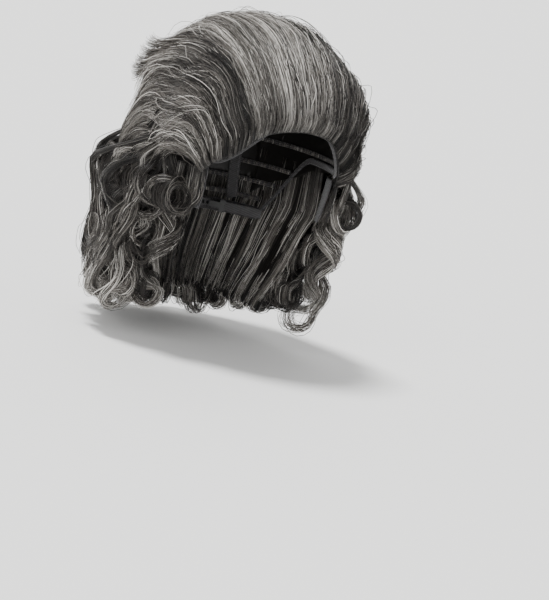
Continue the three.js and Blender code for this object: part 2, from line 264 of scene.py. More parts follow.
def in_hair(point, depth, lift=1.0):
    """Moves points to a depth below the hair's outside; lift 0 puts them down on the cap instead."""
    direction = unit(point - HAIR_MIDDLE)
    cap = reach_of(HEAD_REACH, direction) + HAIR_STARTS
    hair = np.maximum(reach_of(HAIR_REACH, direction) - depth, cap)
    return HAIR_MIDDLE + direction * mix(cap, hair, lift)[..., None]


def under_hair(point):
    """Points on the cap below the given ones, where the beds of the hair end."""
    on_cap = in_hair(point, 0.0, 0.0)
    return on_cap - unit(on_cap - HAIR_MIDDLE) * BED_SINKS


# ---- Meshes -----------------------------------------------------------------------------------------

class Cuttings:
    """Collects closed tubes and slabs, each with a material number, and sews them into one mesh.

    Fibres take their colour from their texture coordinates: tone across, root to tip upwards.
    """

    def __init__(self):
        self.places, self.faces, self.coords, self.slots = [], [], [], []
        self.count = 0

    def add(self, places, faces, coords, slot):
        self.faces.append(faces + self.count)
        self.coords.append(coords)
        self.slots.append(np.full(len(faces), slot))
        if len(places):
            self.places.append(places.reshape(-1, 3))
            self.count += len(self.places[-1])

    def tubes(self, paths, radii, tone, aside, sides=3, slot=0):
        """Closed tubes along paths, which never run along the direction `aside`."""
        count, points = paths.shape[:2]
        along = unit(np.gradient(paths, axis=1))
        side = unit(np.cross(along, aside))
        top = np.cross(side, along)
        angle = np.arange(sides) * 2 * math.pi / sides
        ring = side[:, :, None] * np.cos(angle)[:, None] + top[:, :, None] * np.sin(angle)[:, None]
        places = paths[:, :, None] + ring * radii[:, :, None, None]
        start = (np.arange(count)[:, None, None] * points + np.arange(points - 1)[:, None]) * sides
        k, after = np.arange(sides), (np.arange(sides) + 1) % sides
        walls = np.stack([start + k, start + k + sides, start + after + sides, start + after], -1)
        u = np.clip(tone, 0.01, 0.98)[:, None, None] + np.linspace(-0.006, 0.006, sides + 1)
        v = np.linspace(0.01, 0.99, points)[:, None]
        at = np.stack(np.broadcast_arrays(u, v), -1)
        coords = np.stack([at[:, :-1, :-1], at[:, 1:, :-1], at[:, 1:, 1:], at[:, :-1, 1:]], -2)
        first = self.count
        self.add(places, walls.reshape(-1, 4), coords.reshape(-1, 2), slot)
        for step, order in ((0, k), (points - 1, k[::-1])):
            ends = np.arange(count)[:, None] * points * sides + step * sides + order
            self.add((), ends + first - self.count, at[:, step, order].reshape(-1, 2), slot)

    def slab(self, outer, inner, tones=None, slot=0):
        """A closed sheet between two grids of places; tones gives each column a fibre colour."""
        rows, columns = outer.shape[:2]
        places = np.concatenate([outer.reshape(-1, 3), inner.reshape(-1, 3)])
        at = np.arange(rows * columns).reshape(rows, columns)
        top = np.stack([at[:-1, :-1], at[1:, :-1], at[1:, 1:], at[:-1, 1:]], -1).reshape(-1, 4)
        rim = np.concatenate([at[0], at[1:, -1], at[-1, -2::-1], at[-2:0:-1, 0]])
        after = np.roll(rim, -1)
        wall = np.stack([rim, after, after + rows * columns, rim + rows * columns], -1)
        if tones is None:
            u, v = np.meshgrid(np.linspace(0, 1, columns), np.linspace(0, 1, rows))
            flat = np.stack([u * 0.96 + 0.02, v * 0.96 + 0.02], -1).reshape(-1, 2)
            coords = [flat[top], flat[top[:, ::-1]], flat[np.stack([rim, after, after, rim], -1)]]
        else:
            u = np.broadcast_to(tones, (rows - 1, columns - 1)).ravel()[:, None]
            v = np.repeat(np.linspace(0.02, 0.97, rows - 1), columns - 1)[:, None]
            square = np.stack([np.concatenate([u, u, u + 0.008, u + 0.008], 1),
                               np.concatenate([v, v + 0.01, v + 0.01, v], 1)], -1)
            dark = [[0.02, 0.3], [0.03, 0.3], [0.03, 0.31], [0.02, 0.31]]
            edge = np.broadcast_to(dark, (len(wall), 4, 2))
            coords = [square, np.broadcast_to(edge[:1], square.shape), edge]
        faces = np.concatenate([top, top[:, ::-1] + rows * columns, wall])
        self.add(places, faces, np.concatenate(coords).reshape(-1, 2), slot)

    def sew(self, name, materials):
        mesh = bpy.data.meshes.new(name)
        sizes = np.concatenate([np.full(len(f), f.shape[1]) for f in self.faces])
        corners = np.concatenate([f.ravel() for f in self.faces])
        places = np.concatenate(self.places) * MM
        mesh.vertices.add(len(places))
        mesh.vertices.foreach_set("co", places.astype(np.float32).ravel())
        mesh.loops.add(len(corners))
        mesh.loops.foreach_set("vertex_index", corners.astype(np.int32))
        mesh.polygons.add(len(sizes))
        starts = np.concatenate([[0], np.cumsum(sizes)[:-1]])
        mesh.polygons.foreach_set("loop_start", starts.astype(np.int32))
        mesh.polygons.foreach_set("material_index", np.concatenate(self.slots).astype(np.int32))
        mesh.update(calc_edges=True)
        mesh.polygons.foreach_set("use_smooth", np.full(len(sizes), True))
        coords = mesh.uv_layers.new(name="OFBake")
        coords.data.foreach_set("uv", np.concatenate(self.coords).astype(np.float32).ravel())
        for material in materials:
            mesh.materials.append(material)
        mesh.update()
        return mesh


def place(cuttings, materials, name, body, node, slot):
    """Sews a piece and puts it in the scene in the stead of a CAD node."""
    piece = bpy.data.objects.new(name, cuttings.sew(name, materials))
    bpy.context.scene.collection.objects.link(piece)
    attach(piece, body)
    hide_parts(node)


def place_hair(cuttings, name, node, body="wig"):
    place(cuttings, [fibre_material()], name, body, node, "hair")


def seeded(name):
    """Random numbers that are the same on every run, and different for each piece."""
    return np.random.default_rng(sum(ord(letter) * (i + 1) for i, letter in enumerate(name)))


# ---- Settings ---------------------------------------------------------------------------------------

def share_setting(name, description, low, high):
    return FloatProperty(
        name=name, description=f"{description}, as a share of the usual", default=1.0, min=low, max=high,
        subtype="FACTOR")


class WigSizes(PropertyGroup):
    strand_width: FloatProperty(
        name="Strand Width", description="Width of one strand of fibres", default=0.00055, min=0.0002,
        max=0.003, precision=5, unit="LENGTH")
    fullness: share_setting("Fullness", "Number of strands", 0.1, 1.4)
    wave_height: share_setting("Wave Height", "Height of the combed waves", 0.0, 3.0)
    frizz: share_setting("Frizz", "How far single strands stray", 0.0, 4.0)


def colour_setting(name, description, default):
    return FloatVectorProperty(
        name=name, description=description, default=default, min=0.0, max=1.0, subtype="COLOR_GAMMA")


class WigColours(PropertyGroup):
    pepper: colour_setting("Pepper", "Colour of the dark fibres", (0.20, 0.188, 0.178))
    grey: colour_setting("Grey", "Colour of the grey fibres", (0.47, 0.452, 0.43))
    salt: colour_setting("Salt", "Colour of the white fibres", (0.95, 0.935, 0.91))
    cloth: colour_setting("Cap Cloth", "Colour of the cap's woven bands and tabs", (0.16, 0.155, 0.16))
    elastic: colour_setting("Elastic", "Colour of the cap's ribbons and straps", (0.20, 0.195, 0.20))
    nylon: colour_setting("Nylon", "Colour of the adjusters' hooks", (0.12, 0.12, 0.12))
    floor: colour_setting("Floor", "Colour of the studio floor", (0.95, 0.95, 0.945))


def linear(colour):
    """A colour as the shaders want it."""
    return [c / 12.92 if c <= 0.04045 else ((c + 0.055) / 1.055) ** 2.4 for c in colour]


def shaded(colour, share):
    return (*(min(c * share, 1.0) for c in linear(colour)), 1.0)


# ---- Materials --------------------------------------------------------------------------------------

def new_material(name):
    material = bpy.data.materials.new(name)
    material.use_nodes = True
    tree = material.node_tree
    return material, tree, tree.nodes["Principled BSDF"]


def ramp(tree, stops, factor):
    node = tree.nodes.new("ShaderNodeValToRGB")
    elements = node.color_ramp.elements
    while len(elements) < len(stops):
        elements.new(0.5)
    for element, (position, colour) in zip(elements, stops):
        element.position, element.color = position, colour
    tree.links.new(factor, node.inputs[0])
    return node.outputs[0]


def grey(level):
    return (level, level, level, 1.0)


def set_inputs(node, values):
    for name, value in values.items():
        node.inputs[name].default_value = value


def texture(tree, kind, values):
    """A texture node laid over the piece's own coordinates."""
    node = tree.nodes.new(kind)
    set_inputs(node, values)
    tree.links.new(tree.nodes.new("ShaderNodeTexCoord").outputs["Object"], node.inputs["Vector"])
    return node


def paint(tree, shader, colour, shade):
    """Gives a shader one colour multiplied by another."""
    product = tree.nodes.new("ShaderNodeMix")
    product.data_type, product.blend_type = "RGBA", "MULTIPLY"
    product.inputs[0].default_value = 1.0
    tree.links.new(colour, product.inputs[6])
    tree.links.new(shade, product.inputs[7])
    tree.links.new(product.outputs[2], shader.inputs["Base Color"])


def fibre_material():
    """Salt-and-pepper fibre: its tone comes across the texture map, and painted shade darkens it towards
    the root, where hair lies under other hair.
    """
    if "hair_fibre" in bpy.data.materials:
        return bpy.data.materials["hair_fibre"]
    colours = bpy.context.scene.wig_colours
    material, tree, shader = new_material("hair_fibre")
    coords = tree.nodes.new("ShaderNodeUVMap")
    coords.uv_map = "OFBake"
    split = tree.nodes.new("ShaderNodeSeparateXYZ")
    tree.links.new(coords.outputs[0], split.inputs[0])
    tones = ramp(tree, [
        (0.0, shaded(colours.pepper, 0.25)),
        (0.25, shaded(colours.pepper, 1.0)),
        (0.6, shaded(colours.grey, 1.0)),
        (1.0, shaded(colours.salt, 1.0)),
    ], split.outputs[0])
    # Painted shade: every fibre darkens from its tip to its root, deepest at the root.
    root_painted_shade = [(0.0, grey(0.18)), (0.12, (0.31, 0.305, 0.30, 1.0)), (0.27, grey(0.58)), (0.5, grey(1.0))]
    paint(tree, shader, tones, ramp(tree, root_painted_shade, split.outputs[1]))
    set_inputs(shader, {
        "Roughness": 0.40, "Specular IOR Level": 0.22, "Sheen Weight": 0.04, "Sheen Roughness": 0.4})
    return material


def woven_material(name, colour, threads, roughness=0.85):
    """Cloth with threads both ways, `threads` of them to the piece, and a little fluff."""
    if name in bpy.data.materials:
        return bpy.data.materials[name]
    material, tree, shader = new_material(name)
    weave = texture(tree, "ShaderNodeTexWave", {
        "Scale": threads, "Distortion": 1.2, "Detail": 2.0, "Detail Scale": 3.0})
    weave.wave_type, weave.bands_direction = "BANDS", "DIAGONAL"
    fluff = texture(tree, "ShaderNodeTexNoise", {"Scale": 260.0, "Detail": 3.0})
    tones = ramp(tree, [(0.0, shaded(colour, 0.55)), (1.0, shaded(colour, 1.35))], weave.outputs["Fac"])
    worn = ramp(tree, [(0.3, grey(0.8)), (0.75, grey(1.25))], fluff.outputs["Fac"])
    paint(tree, shader, tones, worn)
    bump = tree.nodes.new("ShaderNodeBump")
    set_inputs(bump, {"Strength": 0.5, "Distance": 0.0003})
    tree.links.new(weave.outputs["Fac"], bump.inputs["Height"])
    tree.links.new(bump.outputs[0], shader.inputs["Normal"])
    set_inputs(shader, {"Roughness": roughness, "Sheen Weight": 0.25})
    return material


def hard_material(name, colour, roughness, metallic, grain):
    """Moulded or drawn material with a fine uneven gloss."""
    if name in bpy.data.materials:
        return bpy.data.materials[name]
    material, tree, shader = new_material(name)
    noise = texture(tree, "ShaderNodeTexNoise", {"Scale": grain, "Detail": 4.0})
    tones = ramp(tree, [(0.3, shaded(colour, 0.85)), (0.7, shaded(colour, 1.2))], noise.outputs["Fac"])
    gloss = ramp(tree, [(0.3, grey(roughness * 0.8)), (0.7, grey(roughness * 1.2))], noise.outputs["Fac"])
    tree.links.new(tones, shader.inputs["Base Color"])
    tree.links.new(gloss, shader.inputs["Roughness"])
    shader.inputs["Metallic"].default_value = metallic
    return material


def cap_cloth():
    return woven_material("cap_cloth", bpy.context.scene.wig_colours.cloth, 420.0)


def elastic_cloth():
    return woven_material("ribbed_elastic", bpy.context.scene.wig_colours.elastic, 300.0, 0.7)


def sewing_thread():
    return woven_material("sewing_thread", (0.30, 0.29, 0.29), 900.0, 0.6)


# ---- Strands ----------------------------------------------------------------------------------------

def share_of(count):
    """The number of strands to make where the usual number is `count`."""
    return max(4, round(count * bpy.context.scene.wig_sizes.fullness))


def bundled(random, locks, per_lock):
    """Which lock each strand is in, and its two offsets across the lock, in -1 to 1."""
    lock = np.repeat(np.arange(locks), per_lock)
    turn = random.uniform(0, 2 * math.pi, len(lock))
    reach = np.sqrt(random.uniform(0, 1, len(lock)))
    return lock, reach * np.cos(turn), reach * np.sin(turn)


def to_strands(lock, *values):
    """Values that each lock has, given to its strands, with an axis for the points along them."""
    return [value[lock][:, None] for value in values]


# Tones run from 0 (dark) to 1 (white); each kind of fibre has a mean and a spread.
TONES = dict(
    pepper=(0.22, 0.07), grey=(0.46, 0.11), salt=(0.82, 0.09),
    bed=(0.20, 0.05), under=(0.17, 0.05), weft=(0.42, 0.14),
)
PEPPER_BELOW, SALT_ABOVE = 0.38, 0.88


def tones_for(random, lock, bright=0.0, uneven=0.10):
    """Salt and pepper: most fibres are dark or grey, some nearly white, and locks differ by `uneven`; the
    lightness given for the piece raises or lowers all its fibres, and holds both their tone and painted
    light and shade.
    """
    count = len(lock)
    lean = random.normal(0, uneven, lock.max() + 1)[lock]
    tone = random.normal(*TONES["grey"], count)
    kind = random.uniform(0, 1, count)
    tone = np.where(kind < PEPPER_BELOW, random.normal(*TONES["pepper"], count), tone)
    tone = np.where(kind > SALT_ABOVE, random.normal(*TONES["salt"], count), tone)
    return np.clip(tone + lean + bright, 0.06, 0.97)


def radii_for(random, paths):
    """Radii in millimetres along each strand, which thins towards its tip."""
    shape = mix(1.0, 0.3, smooth(np.linspace(0, 1, paths.shape[1]), 0.7, 1.0))
    width = bpy.context.scene.wig_sizes.strand_width / MM
    return width / 2 * random.uniform(0.75, 1.25, (len(paths), 1)) * shape


def frizzed(random, paths, amount=0.5, strays=0.05):
    """Bends every strand a little, and a few a lot, more towards the tip."""
    amount = amount * bpy.context.scene.wig_sizes.frizz
    count, points = paths.shape[:2]
    t = np.linspace(0, 1, points)[None, :, None]
    phase = random.uniform(0, 2 * math.pi, (2, count, 1, 3))
    turn = random.uniform(0.7, 1.9, (count, 1, 3)) * t * 2 * math.pi
    wobble = np.sin(phase[0] + turn) + 0.5 * np.sin(phase[1] + 2.3 * turn)
    wobble = wobble - wobble[:, :1]
    stray = np.where(random.uniform(0, 1, (count, 1, 1)) < strays, 4.0, 1.0)
    return paths + wobble * amount * stray * smooth(t, 0.0, 0.5)


def bed_tones(random, columns):
    return np.clip(random.normal(*TONES["bed"], columns), 0.04, 0.4)


def lay(cuttings, random, paths, lock, aside, bright):
    """Adds strands of fibre along paths, all lightened or darkened by the piece's tone and painted light
    and shade.
    """
    cuttings.tubes(paths, radii_for(random, paths), tones_for(random, lock, bright), aside)


# ---- Hair combed back over the head -----------------------------------------------------------------

def wave_at(line, back):
    """How far the waves lift the hair, and how far they push it across."""
    side = smooth(np.abs(line), 0.8, 2.4)
    turn = (back - WAVE["crest"] + 0.05 * (np.abs(line) - 2.5)) / WAVE["length"] * 2 * math.pi
    grown = side * smooth(back, 0.06, 0.28) * bpy.context.scene.wig_sizes.wave_height
    return WAVE["rise"] * np.cos(turn) * grown, WAVE["sway"] * np.sin(turn) * grown


def combed_strands(random, lines, start, length, locks, per_lock, depth, flick, points=22):
    """Strands that follow the combing lines from the hairline, or from a weft further back."""
    lock, a, b = bundled(random, locks, per_lock)
    line_of = np.linspace(*lines, locks) + random.normal(0, 0.03, locks)
    start_of = mix(start[0], start[1], random.uniform(0, 1, locks) ** 1.5)
    length_of = random.uniform(*length, locks)
    width_of = random.uniform(0.07, 0.17, locks)
    drift_of = random.normal(0, 0.07, locks)
    depth_of = random.uniform(*depth, locks)
    flick_of = random.uniform(0.3, 1.0, locks) * flick * smooth(np.abs(line_of), 1.2, 2.3)
    t = np.linspace(0, 1, points)[None, :]
    line_at, start_at, length_at, width_at, drift_at, depth_at, flick_at = to_strands(
        lock, line_of, start_of, length_of, width_of, drift_of, depth_of, flick_of)
    own_length = length_at * random.uniform(0.82, 1.05, (len(lock), 1))
    own_start = start_at + random.uniform(-0.012, 0.012, (len(lock), 1))
    back = np.clip(own_start + t * own_length, 0, 1)
    gather = 1 - 0.45 * t
    rise, sway = wave_at(line_at, back)
    side = np.where(line_at < 0, -1.0, 1.0)
    line = line_at + a[:, None] * width_at * gather + drift_at * t ** 1.5 + sway * side
    line = np.clip(line, -4, 4)
    deep = depth_at + (b[:, None] * 1.5 + 3.4 * a[:, None] ** 2) * gather + 0.6
    ends = smooth(t, 0.55, 1.05) ** 1.6 * flick_at
    lift = smooth(t, -0.03, 0.16) ** 0.8
    point = combed(line, back)
    point[..., 2] -= DROOP * smooth(np.abs(line), 0.8, 2.0) * smooth(t, 0.5, 1.0) ** 1.6
    return in_hair(point, deep - rise - ends, np.broadcast_to(lift, line.shape)), lock


def combed_bed(cuttings, random, lines, backs, columns=110, rows=24):
    """The dense hair under the strands, down to the cap, grooved along the combing."""
    line, back = np.meshgrid(np.linspace(*lines, columns), np.linspace(*backs, rows))
    rise, sway = wave_at(line, back)
    groove = random.uniform(-COMBED_GROOVE, COMBED_GROOVE, columns)
    lift = smooth(back, -0.02, 0.2) ** 0.8
    point = combed(np.clip(line + sway * np.sign(line), -4, 4), back)
    outer = in_hair(point, COMBED_BED_DEPTH + groove - rise, lift)
    cuttings.slab(outer, under_hair(point), bed_tones(random, columns - 1))


# node, lines, start, length, locks, strands in each, depth, flick, lightness (the fibres' tone with
# painted light: top lighter, sides darker), stretch that its bed fills
COMBED_HAIR = [
    ("hair_quiff_center", (-0.5, 0.5), (0.0, 0.10), (0.62, 0.86), 40, 26, (0, 6), 0, 0.23, (0.0, 0.5)),
    ("hair_quiff_left", (0.5, 1.5), (0.0, 0.10), (0.62, 0.86), 40, 26, (0, 6), 0, -0.08, (0.0, 0.5)),
    ("hair_quiff_right", (-1.5, -0.5), (0.0, 0.10), (0.62, 0.86), 40, 26, (0, 6), 0, 0.23, (0.0, 0.5)),
    ("hair_wing_left", (1.5, 2.5), (0.0, 0.12), (0.6, 0.9), 42, 26, (0, 6), 0, -0.16, (0.0, 0.5)),
    ("hair_wing_right", (-2.5, -1.5), (0.0, 0.12), (0.6, 0.9), 42, 26, (0, 6), 0, -0.16, (0.0, 0.5)),
    ("hair_crown_center", (-0.5, 0.5), (0.42, 0.56), (0.40, 0.50), 32, 24, (1, 8), 4, 0.13, (0.5, 1.0)),
    ("hair_crown_left", (0.5, 2.6), (0.40, 0.56), (0.34, 0.44), 52, 24, (1, 8), 9, 0.13, (0.5, 1.0)),
    ("hair_crown_right", (-2.6, -0.5), (0.40, 0.56), (0.34, 0.44), 52, 22, (1, 8), 9, 0.13, (0.5, 1.0)),
    ("hair_temple_left", (2.5, 3.95), (0.0, 0.25), (0.45, 0.80), 56, 24, (0, 6), 2, 0.11, (0.0, 1.0)),
    ("hair_temple_right", (-3.95, -2.5), (0.0, 0.25), (0.45, 0.80), 56, 24, (0, 6), 2, 0.11, (0.0, 1.0)),
]

# lines, share of the way back, how far it stands out and turns up, locks, strands in each
TUFTS = {
    "hair_crown_right": ((-1.85, -2.38), (0.46, 0.79), 16, 15, 12, 26),
    "hair_crown_left": ((1.7, 2.3), (0.5, 0.84), 10, 5, 6, 24),
}


def tuft_strands(random, lines, backs, out, turn_up, locks, per_lock, points=22):
    """Locks at the back of the crown that leave the head together and turn up at their ends."""
    lock, a, b = bundled(random, locks, per_lock)
    t = np.linspace(0, 1, points)[None, :]
    spread = (np.linspace(-0.40, 0.34, locks) + random.normal(0, 0.03, locks))[lock][:, None]
    line = mix(*lines, t) + (spread + a[:, None] * 0.08) * (1 - 0.3 * t)
    back = mix(*backs, (1 - (1 - t) ** 1.5) * random.uniform(0.90, 1.04, (len(lock), 1)))
    lift = np.broadcast_to(smooth(t, -0.05, 0.2), line.shape)
    paths = in_hair(combed(line, back), 1.5 + b[:, None] * 2.6 * (1 - 0.3 * t), lift)
    away = unit((paths - HAIR_MIDDLE) * [1, 1, 0])
    share = random.uniform(0.72, 1.05, locks)[lock][:, None] * random.uniform(0.9, 1.05, (len(lock), 1))
    paths = paths + away * (share * out * smooth(t, 0.40, 0.96) ** 1.2)[..., None]
    return paths + UP * (share * turn_up * smooth(t, 0.70, 1.08) ** 1.5)[..., None], lock


class WIG_OT_combed_hair(Operator):
    """Makes the hair combed back from the hairline over the head"""

    bl_idname = "wig.combed_hair"
    bl_label = "Combed Hair"

    def execute(self, context):
        for node, lines, start, length, locks, each, depth, flick, bright, bed in COMBED_HAIR:
            random, cuttings = seeded(node), Cuttings()
            paths, lock = combed_strands(random, lines, start, length, locks, share_of(each), depth, flick)
            paths = frizzed(random, paths, 0.8, 0.08)
            tones = tones_for(random, lock, bright, 0.15)
            cuttings.tubes(paths, radii_for(random, paths), tones, unit(paths - HAIR_MIDDLE))
            combed_bed(cuttings, random, lines, bed)
            if node in TUFTS:
                paths, lock = tuft_strands(random, *TUFTS[node])
                paths = frizzed(random, paths)
                lay(cuttings, random, paths, lock, unit(paths - HAIR_MIDDLE), bright)
            place_hair(cuttings, node.replace("hair_", "") + "_strands", node)
        return {"FINISHED"}


# ---- Hair that hangs --------------------------------------------------------------------------------

def hanging_strands(random, outline, angles, heights, inward, locks, per_lock, wave, points=18):
    """Strands that fall down an outline, between two angles and two heights."""
    lock, a, b = bundled(random, locks, per_lock)
    angle_of = np.linspace(*angles, locks) + random.normal(0, 1.0, locks)
    top_of = heights[0] + random.uniform(-8, 0, locks)
    low_of = heights[1] + random.uniform(-3, 10 * wave, locks)
    inward_of = random.uniform(*inward, locks)
    phase_of = random.normal(0, 0.5, locks)
    t = np.linspace(0, 1, points)[None, :]
    angle_at, top_at, low_at, inward_at, phase_at = to_strands(
        lock, angle_of, top_of, low_of, inward_of, phase_of)
    height = mix(top_at, low_at + random.uniform(0, 9, (len(lock), 1)), t)
    turn = t * 2 * math.pi * 1.4 + phase_at
    angle = angle_at + a[:, None] * 2.6 * (1 - 0.4 * t) + wave * 0.9 * np.sin(turn) * t
    deep = inward_at + b[:, None] * 1.3 - wave * np.cos(turn) * smooth(t, 0.0, 0.4)
    deep = deep + 2.2 * wave * (1 - smooth(t, 0.0, 0.3)) + 1.5 * wave * smooth(t, 0.75, 1.0)
    return on_outline(outline, angle, height, deep), lock


def hanging_bed(cuttings, random, outline, angles, heights, front, thick=None, columns=70, rows=14):
    """The dense hair under hanging strands: a thin sheet, or with no thickness given, down to the cap."""
    angle, down = np.meshgrid(np.linspace(*angles, columns), np.linspace(0, 1, rows))
    height = mix(heights[0], heights[1] + random.uniform(-BED_RAGGED, BED_RAGGED, columns), down)
    groove = random.uniform(-HANGING_GROOVE, HANGING_GROOVE, columns)
    outer = on_outline(outline, angle, height, front + groove)
    if thick is None:
        inner = under_hair(outer)
    else:
        inner = on_outline(outline, angle, height, front + thick + groove[::-1])
    cuttings.slab(outer, inner, bed_tones(random, columns - 1))


# node, outline, angles, heights, depth below the outline, locks, strands in each, wave, lightness (the
# fibres' tone with painted light and shade), bed's depth and thickness and lowest point
HANGING_HAIR = [
    ("hair_back_left", HAIR_OUTLINE, (122, 182), (118, -30), (0, 6), 42, 26, 3.2, 0.16, (9, None), -26),
    ("hair_back_right", HAIR_OUTLINE, (178, 238), (118, -30), (0, 6), 42, 26, 3.2, 0.16, (9, None), -26),
    ("hair_fall_left", FALL_OUTLINE, (86, 138), (12, -144), (-1, 8), 30, 22, 1.2, 0.04, (2.2, 2.0), -140),
    ("hair_fall_back", FALL_OUTLINE, (137, 223), (12, -144), (-1, 8), 46, 22, 1.2, 0.04, (2.2, 2.0), -140),
    ("hair_fall_right", FALL_OUTLINE, (222, 274), (12, -144), (-1, 8), 30, 22, 1.2, 0.04, (2.2, 2.0), -140),
]


class WIG_OT_hanging_hair(Operator):
    """Makes the hair that hangs at the back and inside the curls"""

    bl_idname = "wig.hanging_hair"
    bl_label = "Hanging Hair"

    def execute(self, context):
        for node, outline, angles, heights, inward, locks, each, wave, bright, bed, low in HANGING_HAIR:
            random, cuttings = seeded(node), Cuttings()
            paths, lock = hanging_strands(
                random, outline, angles, heights, inward, locks, share_of(each), wave)
            paths = frizzed(random, paths)
            lay(cuttings, random, paths, lock, unit((paths - HAIR_MIDDLE) * [1, 1, 0]), bright)
            hanging_bed(cuttings, random, outline, angles, (min(heights[0], BED_TOP), low), *bed)
            place_hair(cuttings, node.replace("hair_", "") + "_strands", node)
        return {"FINISHED"}


# ---- Curls ------------------------------------------------------------------------------------------

# Each row: the ellipse that its curls sit on, with its height at the front and its drop to the back; how
# many curls there are and the angle where they start; a curl's radius and how far its locks scatter up
# and down; their lightness, which holds both their tone and painted light and shade; the heights of the
# roots, and of the draped locks' ends; and by how many degrees the roots are ahead of the curl.
CURL_ROWS = {
    "upper": dict(height=-25, drop=5, half=(110, 127), shift=26, count=6, start=56, radius=20, scatter=11,
                  bright=-0.05, roots=(14, 62), ends=(-92, -50), ahead=(8, 32)),
    "middle": dict(height=-70, drop=30, half=(98, 110), shift=36, count=6, start=68, radius=20, scatter=10,
                   bright=-0.06, roots=(-34, -6), ends=(-134, -100), ahead=(6, 24)),
    "lower": dict(height=-110, drop=38, half=(86, 96), shift=42, count=4, start=63, radius=18, scatter=7,
                  bright=0.17, roots=(-80, -46), ends=(-148, -130), ahead=(4, 20)),
}
CURL_SPACE = 2.4
FIRST_ROOT = 72.0

# Locks in each curl, strands in each lock and points along each strand.
ROLLED, DRAPED, UNDER = (8, 50, 29), (3, 54, 26), (10, 16, 25)
UNDER_THICKER = 1.5

# The shares of the locks that lie flat and that flip out, and of a strand that comes before its roll.
FLAT_SHARE, FLIP_SHARE = 0.45, 0.3
FALLING_SHARE, DRAPED_SHARE = 0.36, 0.6
ROW_RADIUS = 110


def sides_of(angle):
    """Which side of the head each angle is on, and how far round it is from the face."""
    return np.where(angle < 180, 1.0, -1.0), np.where(angle < 180, angle, 360 - angle)


def around(row, angle):
    """Points on a row's ellipse, and the directions outward and along it there."""
    a = np.radians(angle)
    width, depth = row["half"]
    height = row["height"] - row["drop"] * (1 - np.cos(a)) / 2
    point = on_ellipse(angle, width, depth, row["shift"], height)
    outward = unit(np.stack([depth * np.sin(a), -width * np.cos(a), 0 * a], -1))
    return point, outward, np.cross(UP, outward)


